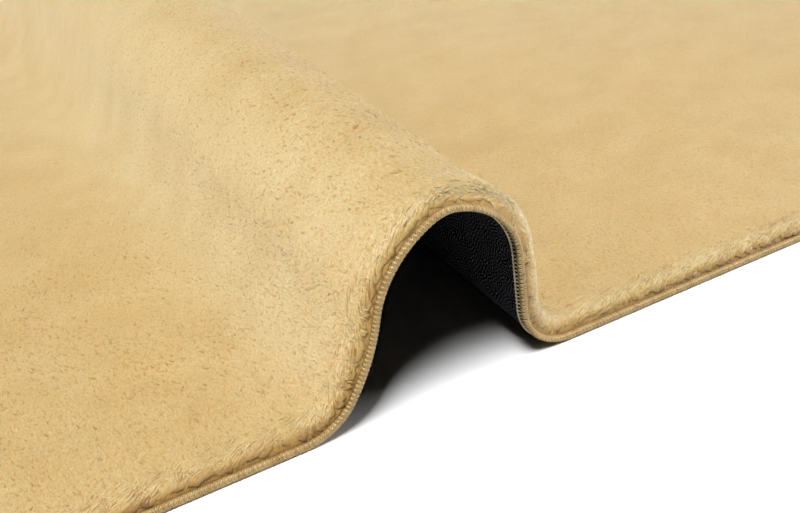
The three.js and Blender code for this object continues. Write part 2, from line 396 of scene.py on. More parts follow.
def addMap(piece, name, places):
    # a UV map from a place for each point
    mesh = piece.data
    order = np.empty(len(mesh.loops), np.int32)
    mesh.loops.foreach_get("vertex_index", order)
    layer = mesh.uv_layers.new(name=name)
    layer.uv.foreach_set("vector", np.asarray(places, np.float32)[order].ravel())


def addValue(piece, name, values):
    layer = piece.data.attributes.new(name, "FLOAT", "POINT")
    layer.data.foreach_set("value", np.asarray(values, np.float32))


def cellMap(count, corners):
    # a small square of the bake for each lock, with its corners at these places in the square
    wide = math.ceil(math.sqrt(count))
    cell = np.stack([np.arange(count) % wide, np.arange(count) // wide], 1)
    return ((cell[:, None, :] + 0.1 + 0.8 * np.asarray(corners)[None]) / wide).reshape(-1, 2)


# More fibres stand up where the cloth falls away to the right: this share, from this slope
falling = dict(share=0.45, slope=0.7)


def leanNormals(piece, flat, own, toward=(0, 0, 1), upright=0.0):
    # shades a piece mostly as the cloth it lies on, as a dense pile is lit, with this share of its own
    # form; toward is the way out of the cloth as laid flat, and upright the share that stands up
    mesh = piece.data
    form = np.empty(len(mesh.vertices) * 3, np.float32)
    mesh.vertices.foreach_get("normal", form)
    heading = headingAt(flat[:, 0])
    ahead, side, up = np.broadcast_to(toward, (len(flat), 3)).T
    surface = unit(np.stack([
        ahead * np.cos(heading) - up * np.sin(heading),
        side,
        ahead * np.sin(heading) + up * np.cos(heading),
    ], 1))
    share = np.clip(upright + falling["share"] * smooth(0.0, falling["slope"], -heading), 0, 1)[:, None]
    surface = surface * (1 - share) + share * np.array([0, 0, 1])
    shade = surface * (1 - own) + form.reshape(-1, 3) * own
    mesh.normals_split_custom_set_from_vertices(unit(shade))


def strips(centres, sides, widths, thicks, section, pointed):
    # tapered tubes along centre lines (count, steps, 3), with a section of (across, up) corners;
    # gives corners (count, corners, 3) and the faces of one
    count, steps, _ = centres.shape
    ups = unit(np.cross(np.gradient(centres, axis=1), sides))
    section = np.asarray(section, float)
    across = sides[:, :, None] * (section[:, 0] * widths[:, :, None])[..., None]
    upwards = ups[:, :, None] * (section[:, 1] * thicks[:, :, None])[..., None]
    rings = centres[:, :, None] + across + upwards
    last = steps - 1 if pointed else steps
    corners = rings[:, :last].reshape(count, last * len(section), 3)
    if pointed:
        corners = np.concatenate([corners, centres[:, -1:]], 1)
    return corners, tubeFaces(steps, len(section), pointed)


def tubeFaces(steps, sizes, pointed):
    # the faces of one closed tube of this many rings; a pointed one ends in a single corner
    last = steps - 1 if pointed else steps
    faces = []
    for k in range(last - 1):
        for i in range(sizes):
            a, b = k * sizes + i, k * sizes + (i + 1) % sizes
            faces += [(a, b, b + sizes), (a, b + sizes, a + sizes)]
    for i in range(1, sizes - 1):
        faces.append((0, i + 1, i))
    end = (last - 1) * sizes
    if pointed:
        faces += [(end + i, end + (i + 1) % sizes, last * sizes) for i in range(sizes)]
    else:
        faces += [(end, end + i, end + i + 1) for i in range(1, sizes - 1)]
    return np.array(faces)


def repeated(faces, count, corners):
    # the faces of one for so many, each of so many corners
    return (faces[None] + corners * np.arange(count)[:, None, None]).reshape(-1, 3)


def furPiece(name, corners, faces, values, places, **shading):
    # locks from corners (count, corners, 3) and the faces of one; values are tone, paintedLight (painted
    # shade up to painted light) and paintedSheen
    count, per = corners.shape[:2]
    flat = corners.reshape(-1, 3)
    piece = meshPiece(name, bendOver(flat), repeated(faces, count, per), fibres)
    for label, value in zip(("tone", "paintedLight", "paintedSheen"), values):
        addValue(piece, label, np.broadcast_to(value, (count, per)).ravel())
    addMap(piece, "clothPlace", flat[:, :2])
    addMap(piece, "OFBake", cellMap(count, places))
    leanNormals(piece, flat, **shading)
    return piece


# The pile's upper side, with lumps from 6 to 40 mm wide
pile = dict(
    top=0.0117,  # height over the underside
    lumps=[(0.038, 0.0006), (0.014, 0.00030), (0.0065, 0.00022)],  # size and height of each
    foot=0.0026,  # its underside, over the backing
    wall=0.001,  # height of its edge over that
    inset=0.0047,  # of its edge, just inside the binding
    rounding=0.0078,  # how far in from there it reaches its full height
    # the fuller fur on the fold's right side: its middle, how long and how high, and where it ends
    shock=(0.50, 0.095, 0.0070),
    shockEnd=(0.008, 0.035),
    columns=360, rows=242,
    denser=1.6,  # columns and rows along its edge
)


def pileTop(along, across):
    height = np.full(np.shape(along), pile["top"])
    for i, (size, high) in enumerate(pile["lumps"]):
        height = height + high * valueNoise(along, across, size, 20 + i)
    middle, reach, high = pile["shock"]
    shock = (1 - smooth(0, reach, np.abs(along - middle))) * (1 - smooth(*pile["shockEnd"], across))
    height = height + high * shock
    gone = np.clip((insetAt(along, across) - pile["inset"]) / pile["rounding"], 0, 1)
    rise = np.sqrt(1 - (1 - gone) ** 2)
    return pile["foot"] + pile["wall"] + (height - pile["foot"] - pile["wall"]) * rise


denseIn = (0.006, 0.030)  # how far in from the edge a sheet's points begin and end to spread


def clothSpread(inset, columns, rows, denser):
    # flat places of a grid in the round-cornered outline, closer together along the rim
    def spread(count, size):
        reach = np.linspace(0, size, 4000)
        dense = 1 + denser * (1 - smooth(*denseIn, np.minimum(reach, size - reach)))
        walked = np.concatenate([[0], np.cumsum((dense[1:] + dense[:-1]) / 2)])
        return np.interp(np.linspace(0, 1, count + 1), walked / walked[-1], reach) / size

    length, depth, corner = cloth["length"], cloth["depth"], cloth["corner"]
    along = inset + spread(columns, length) * (length - 2 * inset)
    radius = corner - inset
    into = np.clip(corner - np.minimum(along, length - along), 0, radius)
    front = corner - np.sqrt(np.maximum(radius ** 2 - into ** 2, 0))
    share = spread(rows, depth)
    across = front[:, None] + share[None] * (depth - 2 * front[:, None])
    return np.repeat(along[:, None], rows + 1, 1), across


# A sheet's place in the bake: its upper side, and a row each for the rest's front and back
bakeSheet = dict(edge=0.01, long=0.98, deep=0.94, front=0.965, back=0.99)


def slab(name, along, across, topAt, footAt, material):
    # a closed sheet: a fine upper side, walls round its rim and a plain underside; gives the piece
    # and its flat points
    columns, rows = along.shape[0] - 1, along.shape[1] - 1
    i, j = np.meshgrid(np.arange(columns), np.arange(rows), indexing="ij")
    corner = (i * (rows + 1) + j).ravel()
    right, opposite, behind = corner + rows + 1, corner + rows + 2, corner + 1
    faces = [np.stack([corner, right, opposite], 1), np.stack([corner, opposite, behind], 1)]
    top = np.stack([along, across, topAt(along, across)], 2).reshape(-1, 3)
    first = len(top)
    low = [np.stack([a, b, footAt(a, b)], 1) for a, b in ((along[:, k], across[:, k]) for k in (0, -1))]
    points = np.concatenate([top, *low])
    k = np.arange(columns)
    frontTop, backTop = k * (rows + 1), k * (rows + 1) + rows
    frontLow, backLow = first + k, first + columns + 1 + k
    step = rows + 1
    for p, q, r, t in ((frontLow, frontLow + 1, frontTop + step, frontTop),
                       (backTop, backTop + step, backLow + 1, backLow),
                       (backLow, backLow + 1, frontLow + 1, frontLow)):
        faces += [np.stack([p, q, r], 1), np.stack([p, r, t], 1)]
    for column, flip in ((0, False), (columns, True)):
        rim = column * (rows + 1) + np.arange(rows)
        near, far = first + column, first + columns + 1 + column
        fan = np.stack([np.full(rows, near), rim, rim + 1], 1)
        fan = np.concatenate([fan, [[near, rim[-1] + 1, far]]])
        faces.append(fan[:, ::-1] if flip else fan)
    piece = meshPiece(name, bendOver(points), np.concatenate(faces), material)
    addMap(piece, "clothPlace", points[:, :2])
    u = bakeSheet["edge"] + bakeSheet["long"] * points[:, 0] / cloth["length"]
    v = bakeSheet["edge"] + bakeSheet["deep"] * points[:, 1] / cloth["depth"]
    v[first:first + columns + 1] = bakeSheet["front"]
    v[first + columns + 1:] = bakeSheet["back"]
    addMap(piece, "OFBake", np.stack([u, v], 1))
    return piece, points.astype(np.float32)


pileUpright = 0.35  # share of the fibres that stand up wherever the cloth slopes

# How the fur's painted sheen and painted shade change over the rug. Each pair says where a change begins and
# ends, along the rug, across it, or in from its edge
furZones = dict(
    leftSide=((0.20, 0.30), (0.36, 0.42)),  # of the fold, paler
    leftSideAcross=(0.012, 0.060),
    rightSide=((0.42, 0.46), (0.54, 0.58)),  # of the fold, paler by the front edge
    rightSideAcross=(0.012, 0.040),
    fringe=(0.56, 0.60),  # right of the fold, paler along the edge
    fringeIn=(0.0080, 0.0180),
    far=(0.15, 0.65),  # paler towards the back
    amounts=(0.8, 1.0, 0.8, 0.9),  # how pale the four are
    overhang=((0.26, 0.32), (0.42, 0.46)),  # the fur hangs over there and catches the light
    overhangLit=0.4,
    lowIn=[(0.75, (0.0038, 0.0078)), (0.25, (0.0060, 0.0140))],  # its own shade by the binding
)


def paintedSheenAt(flat):
    # painted sheen: paler on the fold's left side, on its right side and right of it by the front edge, and
    # towards the back
    along, across = flat[..., 0], flat[..., 1]
    zone = furZones
    left = between(along, *zone["leftSide"]) * (0.3 + 0.7 * smooth(*zone["leftSideAcross"], across))
    right = between(along, *zone["rightSide"]) * (1 - smooth(*zone["rightSideAcross"], across))
    fringe = smooth(*zone["fringe"], along) * (1 - smooth(*zone["fringeIn"], insetAt(along, across)))
    parts = left, right, fringe, smooth(*zone["far"], across)
    return np.clip(sum(amount * part for amount, part in zip(zone["amounts"], parts)), 0, 1)


def lowFur(flat):
    # 0 down by the binding, where the fur is in its own shade, to 1 on the pile
    inset = insetAt(flat[..., 0], flat[..., 1])
    share = sum(part * smooth(*over, inset) for part, over in furZones["lowIn"])
    return share + furZones["overhangLit"] * between(flat[..., 0], *furZones["overhang"]) * (1 - share)


def makePile():
    along, across = clothSpread(pile["inset"], pile["columns"], pile["rows"], pile["denser"])

    def footAt(a, b):
        return np.full(np.shape(a), pile["foot"])

    piece, flat = slab("pilePlush", along, across, pileTop, footAt, plush)
    leanNormals(piece, flat, 1 - pileUpright, upright=1.0)
    # painted shade by the binding, and painted sheen
    addValue(piece, "paintedLight", lowFur(flat))
    addValue(piece, "paintedSheen", paintedSheenAt(flat))
    return piece


# Backing: the anti-slip sheet. It is lifted a little along its edge, where the yarn passes under it
backingSize = dict(
    inset=0.0030, thickness=0.0020, lift=0.0009, liftIn=(0.007, 0.014), columns=300, rows=12, denser=1.0
)


def makeBacking():
    size = backingSize
    along, across = clothSpread(size["inset"], size["columns"], size["rows"], size["denser"])

    def footAt(a, b):
        return size["lift"] * (1 - smooth(*size["liftIn"], insetAt(a, b)))

    def topAt(a, b):
        return footAt(a, b) + size["thickness"]

    return slab("backingSheet", along, across, topAt, footAt, blackBack)[0]


# Tufts: low pointed mounds of fibre over the pile. Their corners are the two sides, the tip and
# the crest
tuft = dict(
    spacing=0.00290, length=0.0058, width=0.0021,
    sink=0.00030,  # of its rim under the pile's top
    rise=0.00042,  # of its crest over it
    crest=0.42,  # where the crest is between root and tip
    margin=0.0045,  # from the pile's edge
    astray=0.35,  # from the nap, in radians
    sizes=(0.7, 1.3), widths=(0.8, 1.2), rises=(0.6, 1.5),
    calmAcross=(0.08, 0.55),  # the pile lies smoother further back, and on the right
    calmAlong=(0.55, 0.62),
    calmRight=0.55,
    calmRise=(1.15, 0.75),  # height of the crests where it doesn't, and what calm takes off
    tone=(0.55, 0.2, 0.85),  # its middle, how far it strays, and what calm takes off that
    toneWander=(0.08, 0.05, 15),  # how far, over what size, and the seed
    # painted shade at the two sides, less at the tip, and painted light on the crest
    paintedLight=(0.5, 0.5, 0.9, 1.0),
    places=[(0.1, 0.0), (0.9, 0.0), (0.5, 1.0), (0.5, 0.42)],
    pieces=4,
)


def scatter(spacing, seed):
    # jittered places on the flat rug, in rows set like bricks
    random = np.random.default_rng(seed)
    step = spacing * math.sqrt(math.sqrt(3) / 2)
    alongs = np.arange(0, cloth["length"], step * 2 / math.sqrt(3))
    acrosses = np.arange(0, cloth["depth"], step)
    a, b = np.meshgrid(alongs, acrosses, indexing="ij")
    a = a + (np.arange(len(acrosses)) % 2) * step / math.sqrt(3)
    flat = np.stack([a.ravel(), b.ravel()], 1)
    return flat + random.uniform(-0.5, 0.5, flat.shape) * spacing


# The way the pile lies: to the back, further over to the left on the fold, wandering, and outwards
# at the rim
nap = dict(
    fold=((0.22, 0.30), (0.44, 0.52)),
    foldTurn=0.42,
    wander=[(0.55, 0.045, 31), (0.35, 0.012, 32)],  # how far, over what size, and the seed
    rim=0.03,
    outward=1.8,
    outwardIn=(0.009, 0.022),
)


def napAt(along, across, astray, random):
    angle = math.pi / 2 + napTurn + nap["foldTurn"] * between(along, *nap["fold"])
    for turn, size, seed in nap["wander"]:
        angle = angle + turn * valueNoise(along, across, size, seed)
    angle = angle + random.normal(0, astray, np.shape(along))
    lean = np.stack([np.cos(angle), np.sin(angle)], 1)
    beyond = [value - np.clip(value, nap["rim"], cloth[size] - nap["rim"])
              for value, size in ((along, "length"), (across, "depth"))]
    out = np.stack(beyond, 1)
    out = out / np.maximum(np.linalg.norm(out, axis=1), 1e-6)[:, None]
    share = nap["outward"] * (1 - smooth(*nap["outwardIn"], insetAt(along, across)))
    return np.column_stack([unit(lean + out * share[:, None]), np.zeros(len(lean))])


def makeTufts():
    random = np.random.default_rng(7)
    flat = scatter(tuft["spacing"], 3)
    flat = flat[insetAt(flat[:, 0], flat[:, 1]) > pile["inset"] + tuft["margin"]]
    along, across = flat.T
    count = len(flat)
    level = np.zeros(count)
    lean = napAt(along, across, tuft["astray"], random)
    side = np.stack([-lean[:, 1], lean[:, 0], level], 1)
    size = random.uniform(*tuft["sizes"], count)
    reach = lean * (tuft["length"] * size)[:, None]
    root = np.column_stack([along, across, level]) - reach / 2
    half = side * (tuft["width"] * size * random.uniform(*tuft["widths"], count) / 2)[:, None]
    corners = np.stack([root + half, root - half, root + reach, root + reach * tuft["crest"]], 1)
    calm = smooth(*tuft["calmAcross"], across) + tuft["calmRight"] * smooth(*tuft["calmAlong"], along)
    calm = np.clip(calm, 0, 1)
    highest, lower = tuft["calmRise"]
    crest = tuft["rise"] * random.uniform(*tuft["rises"], count) * (highest - lower * calm)
    heights = np.stack([np.full(count, -tuft["sink"])] * 3 + [crest], 1)
    corners[:, :, 2] = pileTop(corners[:, :, 0], corners[:, :, 1]) + heights
    faces = np.array([[0, 2, 1], [0, 1, 3], [1, 2, 3], [2, 0, 3]])
    middle, stray, lower = tuft["tone"]
    tone = middle + stray * (1 - lower * calm) * random.normal(0, 1, count)
    wander, *noise = tuft["toneWander"]
    tone = np.clip(tone + wander * valueNoise(along, across, *noise), 0, 1)[:, None]
    pieces = []
    for i, chosen in enumerate(np.array_split(np.argsort(along, kind="stable"), tuft["pieces"])):
        part = corners[chosen]
        values = tone[chosen], tuft["paintedLight"], paintedSheenAt(part)
        name = "pileTufts%d" % (i + 1)
        pieces.append(furPiece(name, part, faces, values, tuft["places"], own=0.3, upright=pileUpright))
    return pieces


# Binding: a roll of yarn turns over the cloth's edge, which part underneath, and the threads that
# lock them there
binding = dict(
    pitch=0.0027,
    middle=(0.0026, 0.0020),  # of the roll: how far in, and how high
    core=(0.0021, 0.0015),  # its half width and half height
    turn=(0.0026, 0.0020),  # the same, over the yarn
    cover=0.0003,  # how far the fur keeps off the yarn
    arc=(20, 325),  # degrees that a turn goes round, from the inner side over the top
    round=0.22,  # how much of a turn's own roundness shows
    ribWidth=[0.9, 1, 1, 1, 0.95, 0.86, 0.76, 0.66, 0.55],
    thickness=0.0006, slant=0.0022, stray=0.00006,
    # a turn's section as it lies, its corners' painted light (a painted highlight on the crest, painted
    # shade at the sides and the inner corner), and their place across it
    section=[(-0.5, -0.30), (0.0, -0.50), (0.5, -0.30), (0.0, 0.0)],
    crest=[0.62, 0.80, 0.62, 0.25],
    across=[0.0, 0.5, 1.0, 0.5],
    underShade=(0.35, 0.5, 1.0),  # how much darker it gets underneath, from and to along it
    widths=(0.94, 1.06), tones=(0.2, 1.0),
    coreSides=8, coreStep=0.010,
    # underneath, along, in and up: a leg of thread from each turn, and a V from leg to leg
    legs=[(0.0004, 0.0046, 0.0008), (0.0009, 0.0070, 0.0004)],
    links=[(-0.0004, 0.0066, 0.0003), (0.0009, 0.0077, 0.0003), (0.0023, 0.0066, 0.0003)],
    threadWidth=0.0006,
)


# Rim: locks combed along the edge over the pile's round rim, down to the binding. Each layer is how
# far in the root is, and how far out from there the tip
rim = dict(
    pitch=0.00112,
    brush=0.0052,  # width of a clump, whose locks go the same way and gather at their tips
    shift=0.37,  # of a layer's clumps against those of the one before
    gather=0.6,
    along=-0.0060,  # how far the tips lie over to the side
    width=0.0012,
    sink=0.00025,  # of a lock's sides under the fur's top
    rise=0.00034,  # of its crest over it
    lift=0.00070,  # of a whole clump at most
    edge=0.0052,  # how far out the tips may reach, down by the binding
    ragged=0.0014,  # how far the roots lie out of line
    straggle=0.0060,  # how much further in the first layer's roots may lie
    layers=[(0.0140, 0.0028), (0.0113, 0.0030), (0.0089, 0.0028), (0.0070, 0.0026)],
    flatter=0.8,  # how much lower the clumps stay on the fold's crown and right side
    flatterFrom=((0.330, 0.420), (0.560, 0.600)),
    lean=(0.9, 0.6, 0.25),  # the middle, and how far a clump and a lock stray from it
    reach=(0.3, 0.2),  # how far a clump and a lock stray
    tone=(0.52, 0.17, 0.15),
    thicker=(0.7, 1.4), higher=(0.5, 1.5), paler=(0.8, 1.1),
    # a lock's three rings: how far along it they are, and their share of its width, rise and lift
    rings=(0.0, 0.45, 1.0),
    bow=1.3,
    widths=(0.7, 1.0, 0.0), rises=(0.4, 1.0, 0.0), lifts=(0.2, 1.0, 0.5),
    # its corners: two sides and a crest at each ring, and one at the tip. The tones and paintedLight paint
    # shade on the sides and light on the crest, so that the crest is paler
    corners=[0, 1, 2, 3, 4, 5, 8],
    tones=(-0.4, -0.4, 0.2, -0.5, -0.5, 0.25, 0.2),
    paintedLight=(0.65, 0.65, 1.05, 0.55, 0.55, 1.1, 1.0),
    places=[(0.0, 0.0), (1.0, 0.0), (0.5, 0.1), (0.0, 0.5), (1.0, 0.5), (0.5, 0.6), (0.5, 1.0)],
)
threeSided = [(-0.5, -0.33), (0.5, -0.33), (0.0, 0.67)]


def rollTop(inset):
    # the binding's upper side
    half, high = (size + binding["cover"] for size in binding["turn"])
    across = (inset - binding["middle"][0]) / half
    return binding["middle"][1] + high * np.sqrt(np.maximum(1 - across ** 2, 0))


def furTop(place):
    # the rim's upper side: the pile, and the binding where that is higher
    along, across = place[..., 0], place[..., 1]
    return np.maximum(pileTop(along, across), rollTop(insetAt(along, across)))


slopeStep = 0.0006  # how far to either side the fur's slope is measured


def offFur(flat, raised):
    # a flat place with a height along the fur's slope there
    a, b = flat[..., 0], flat[..., 1]
    slope = [(pileTop(a + i, b + j) - pileTop(a - i, b - j)) / (2 * slopeStep)
             for i, j in ((slopeStep, 0), (0, slopeStep))]
    away = unit(np.stack([-slope[0], -slope[1], np.ones(flat.shape[:-1])], -1))
    ground = np.concatenate([flat[..., :2], furTop(flat)[..., None]], -1)
    return ground + away * np.asarray(raised)[..., None], away


def sidesOf(centres):
    # the level way across centre lines (count, steps, 3)
    return unit(np.cross((0, 0, 1.0), np.gradient(centres, axis=1)))


def rimLayer(layer, inset, reach, random):
    # one layer of locks: their corners, the way out of the fur there, and their tones
    count = int(edgeLength / rim["pitch"])
    walked = (np.arange(count) + random.uniform(-0.5, 0.5, count)) * rim["pitch"]
    shift = 1 + layer * rim["shift"]
    brush = np.floor(walked / rim["brush"] + shift).astype(int)
    brushes = brush.max() + 2
    gather = rim["gather"] * ((brush - shift + 0.5) * rim["brush"] - walked)
    lift = rim["lift"] * random.uniform(0, 1, brushes)[brush][:, None] * np.array(rim["lifts"])
    flatter = 1 - rim["flatter"] * between(edgeAt(walked)[0][:, 0], *rim["flatterFrom"])[:, None]
    tone, clump, own = rim["tone"]
    brushTone = random.normal(0, clump, brushes)[brush]
    lean, clump, each = rim["lean"]
    over = rim["along"] * (random.normal(lean, clump, brushes)[brush] + random.normal(0, each, count))
    clump, each = rim["reach"]
    reach = reach * (1 + clump * random.normal(0, 1, brushes)[brush] + random.normal(0, each, count))
    furthest = rim["straggle"] if layer == 0 else rim["ragged"]
    root = inset + random.uniform(-rim["ragged"], furthest, count)
    line = []
    for share in rim["rings"]:
        place, out, _ = edgeAt(walked + (over + gather) * share)
        line.append(place - out * np.maximum(root - reach * share ** rim["bow"], rim["edge"])[:, None])
    centres = np.stack(line, 1)
    thicker = random.uniform(*rim["thicker"], count)[:, None, None]
    half = sidesOf(centres) * (rim["width"] / 2 * thicker * np.array(rim["widths"])[:, None])
    rise = rim["rise"] * random.uniform(*rim["higher"], count)[:, None] * np.array(rim["rises"])
    lift, rise = lift * flatter, rise * flatter
    low = lift - rim["sink"]
    rings = [offFur(centres - half, low), offFur(centres + half, low), offFur(centres, lift + rise)]
    points, aways = (np.stack(part, 2).reshape(count, 9, 3)[:, rim["corners"]] for part in zip(*rings))
    return points, aways, random.normal(tone, own, count) + brushTone


def makeRim():
    random = np.random.default_rng(17)
    layers = [rimLayer(i, *sizes, random) for i, sizes in enumerate(rim["layers"])]
    corners, aways, tones = (np.concatenate(part) for part in zip(*layers))
    tone = np.clip(tones[:, None] + np.array(rim["tones"]), 0, 1)
    paintedLight = np.array(rim["paintedLight"]) * random.uniform(*rim["paler"], (len(corners), 1))
    paintedLight = lowFur(corners) * paintedLight
    values = tone, paintedLight, paintedSheenAt(corners)
    shading = dict(own=0.4, toward=aways.reshape(-1, 3), upright=pileUpright)
    return furPiece("pileRimLocks", corners, tubeFaces(3, 3, True), values, rim["places"], **shading)


# Fuzz: fine hairs that stand off the fold's crown, closer by the front edge
fuzz = dict(
    spacing=0.0028, closer=0.45, inset=0.0070,
    zone=(0.395, 0.452),
    front=(0.400, 0.446, 0.036),  # from and to along the rug, and how far in
    length=0.0042, width=0.00045, thin=0.5, astray=1.0,
    root=0.0006,  # under the pile's top
    rises=(0.1, 0.5), lengths=(0.6, 1.3),
    places=[(0.0, 0.0), (1.0, 0.0), (0.5, 0.3), (0.5, 1.0)],
)


def makeFuzz():
    random = np.random.default_rng(41)
    low, high = fuzz["zone"]
    ridge = scatter(fuzz["spacing"], 43)
    ridge = ridge[(ridge[:, 0] > low) & (ridge[:, 0] < high)]
    more = scatter(fuzz["spacing"] * fuzz["closer"], 44)
    low, high, depth = fuzz["front"]
    more = more[(more[:, 0] > low) & (more[:, 0] < high) & (more[:, 1] < depth)]
    flat = np.concatenate([ridge, more])
    along, across = flat[insetAt(flat[:, 0], flat[:, 1]) > fuzz["inset"]].T
    count = len(along)
    level = np.zeros(count)
    reach = napAt(along, across, fuzz["astray"], random)
    reach = reach + np.stack([level, level, random.uniform(*fuzz["rises"], count)], 1)
    length = fuzz["length"] * random.uniform(*fuzz["lengths"], count)
    reach *= (length / np.linalg.norm(reach, axis=1))[:, None]
    root = np.column_stack([along, across, pileTop(along, across) - fuzz["root"]])
    heading = headingAt(along)
    side = unit(np.cross(np.stack([np.sin(heading), level, np.cos(heading)], 1), reach))
    widths = np.tile([fuzz["width"], 0.0], (count, 1))
    centres, sides = np.stack([root, root + reach], 1), np.repeat(side[:, None], 2, 1)
    corners, faces = strips(centres, sides, widths, widths * fuzz["thin"], threeSided, True)
    # palest tone, full painted light and full painted sheen
    return furPiece("pileFuzz", corners, faces, (1.0, 1.0, 1.0), fuzz["places"], own=0.2, upright=1.0)


# Loose locks near the front edge. Each group: from and to along the rug, how many, how far they
# stand off, and which way they lie in degrees
loose = dict(
    groups=[(0.255, 0.350, 25, 0.0003, 190), (0.350, 0.430, 20, 0.0004, 190),
            (0.620, 1.150, 90, 0.0003, 190), (0.030, 0.255, 50, 0.0003, 190)],
    inset=(0.0070, 0.0140),
    edge=0.0054,  # how far out they may reach
    length=0.0062, width=0.0016, thick=0.0003,
    astray=0.35,  # from their way, in radians
    curl=0.5,
    lengths=(0.6, 1.3), higher=(0.5, 1.2), sizes=(0.6, 1.3),
    # random tone; darkest is the least painted light they keep by the binding, and paintedSheen their
    # painted sheen
    toneFrom=(0.35, 0.85), darkest=0.3, paintedSheen=0.4,
    # from root to tip: share of their lift, depth under the fur, and share of their width
    lifts=[0, 0.45, 0.8, 1.0, 0.9],
    sinks=[0.0008, 0.0002, 0, 0, 0],
    widths=[0.7, 1.0, 0.9, 0.6, 0.0],
    # at each ring's two sides and crest, and at the tip: painted shade on the sides, painted light on the
    # crest
    tones=[-0.3, -0.3, 0.1] * 4 + [0.1],
    paintedLight=[0.6, 0.6, 1.0] * 4 + [1.0],
)


def makeLoose():
    random = np.random.default_rng(47)
    starts, ends, counts, lifts, turns = zip(*loose["groups"])
    along = np.concatenate([random.uniform(*group) for group in zip(starts, ends, counts)])
    lift, turn = np.repeat(lifts, counts), np.radians(np.repeat(turns, counts))
    count = len(along)
    nearest, furthest = loose["inset"]
    across = random.uniform(nearest, furthest + lift, count)
    turn = random.normal(turn, loose["astray"])
    curl = random.normal(0, loose["curl"], count)
    length = loose["length"] * random.uniform(*loose["lengths"], count)
    lift *= random.uniform(*loose["higher"], count)
    line = [np.column_stack([along, across])]
    for k in range(4):
        way = np.stack([np.cos(turn + curl * k / 3), np.sin(turn + curl * k / 3)], 1)
        line.append(line[-1] + way * (length / 4)[:, None])
    centres = np.stack(line, 1)
    centres[:, :, 1] = np.maximum(centres[:, :, 1], loose["edge"])
    raised = lift[:, None] * np.array(loose["lifts"]) - np.array(loose["sinks"])
    centres = np.dstack([centres, furTop(centres) + raised])
    size = random.uniform(*loose["sizes"], (count, 1)) * np.array(loose["widths"])
    wide, thick = loose["width"] * size, loose["thick"] * size
    corners, faces = strips(centres, sidesOf(centres), wide, thick, threeSided, True)
    tone = np.clip(random.uniform(*loose["toneFrom"], count)[:, None] + np.array(loose["tones"]), 0, 1)
    paintedLight = np.maximum(lowFur(corners), loose["darkest"]) * np.array(loose["paintedLight"])
    places = [(x, k / 4 + y) for k in range(4) for x, y in ((0.0, 0.0), (1.0, 0.0), (0.5, 0.05))]
    places.append((0.5, 1.0))
    values = tone, paintedLight, loose["paintedSheen"]
    return furPiece("pileLooseLocks", corners, faces, values, places, own=0.25, upright=0.6)


def ringAt(angle, sizes):
    # a place on the roll: how far in and how high
    return binding["middle"][0] + sizes[0] * np.cos(angle), binding["middle"][1] + sizes[1] * np.sin(angle)


def byEdge(walked, inward, high):
    # a place this far in and up from the outline, and the way along there
    place, out, way = edgeAt(walked)
    point = place - out * inward
    point[:, 2] = high
    return point, way


def yarnPiece(name, flat, faces, values, places):
    # values are tone, paintedLight (painted shade up to a painted highlight on the crest), ply (across a
    # turn) and run (along it)
    piece = meshPiece(name, bendOver(flat), faces, yarn)
    for label, value in zip(("tone", "paintedLight", "ply", "run"), values):
        addValue(piece, label, np.broadcast_to(value, len(flat)))
    addMap(piece, "OFBake", places)
    return piece


def makeCore():
    steps, sides = int(edgeLength / binding["coreStep"]), binding["coreSides"]
    place, out, _ = edgeAt(np.arange(steps) * edgeLength / steps)
    inward, high = ringAt(np.linspace(0, 2 * math.pi, sides, endpoint=False), binding["core"])
    points = place[:, None] - out[:, None] * inward[None, :, None]
    points[:, :, 2] = high
    i, j = np.meshgrid(np.arange(steps), np.arange(sides), indexing="ij")
    onward, beside = (i + 1) % steps, (j + 1) % sides
    a, b, c, d = (ring * sides + side for ring, side in ((i, j), (onward, j), (onward, beside), (i, beside)))
    faces = np.concatenate([np.stack([p.ravel() for p in face], 1) for face in ((a, c, b), (a, d, c))])
    places = np.stack([i.ravel() / steps, j.ravel() / sides], 1)
    # near black all round: the black back of the rolled edge, and painted shade where it shows between the
    # turns
    return yarnPiece("bindingCore", points.reshape(-1, 3), faces, (0.0,) * 4, places)


turnCount = round(edgeLength / binding["pitch"])
turnPlaces = np.arange(turnCount) * edgeLength / turnCount


def makeTurns():
    random = np.random.default_rng(29)
    share = np.linspace(0, 1, len(binding["ribWidth"]))
    start, end = binding["arc"]
    lines, ways = [], []
    for t in share:
        walked = turnPlaces + binding["slant"] * (t - 0.5) + random.normal(0, binding["stray"], turnCount)
        point, way = byEdge(walked, *ringAt(math.radians(start + t * (end - start)), binding["turn"]))
        lines.append(point)
        ways.append(way)
    widths = binding["pitch"] * random.uniform(*binding["widths"], (turnCount, 1))
    widths = widths * np.array(binding["ribWidth"])
    thicks = np.full_like(widths, binding["thickness"])
    centres, sides = np.stack(lines, 1), np.stack(ways, 1)
    corners, faces = strips(centres, sides, widths, thicks, binding["section"], False)
    per = corners.shape[1]
    flat = corners.reshape(-1, 3)
    # painted light: a painted highlight on each turn's crest, painted shade at its sides and inner corner,
    # and more painted shade underneath
    shade, *along = binding["underShade"]
    under = np.repeat(smooth(*along, share), 4)
    crest = np.tile(binding["crest"], len(share)) * (1 - shade * under)
    across = np.tile(binding["across"], len(share))
    run = np.repeat(share, 4)
    tone = np.repeat(random.uniform(*binding["tones"], turnCount), per)
    values = tone, *(np.tile(value, turnCount) for value in (crest, across, run))
    places = cellMap(turnCount, np.stack([across, run], 1))
    piece = yarnPiece("bindingTurns", flat, repeated(faces, turnCount, per), values, places)
    place, out, _ = edgeAt(np.repeat(turnPlaces, per))
    middle = place - out * binding["middle"][0] + np.array([0, 0, binding["middle"][1]])
    leanNormals(piece, flat, binding["round"], flat - middle)
    return piece


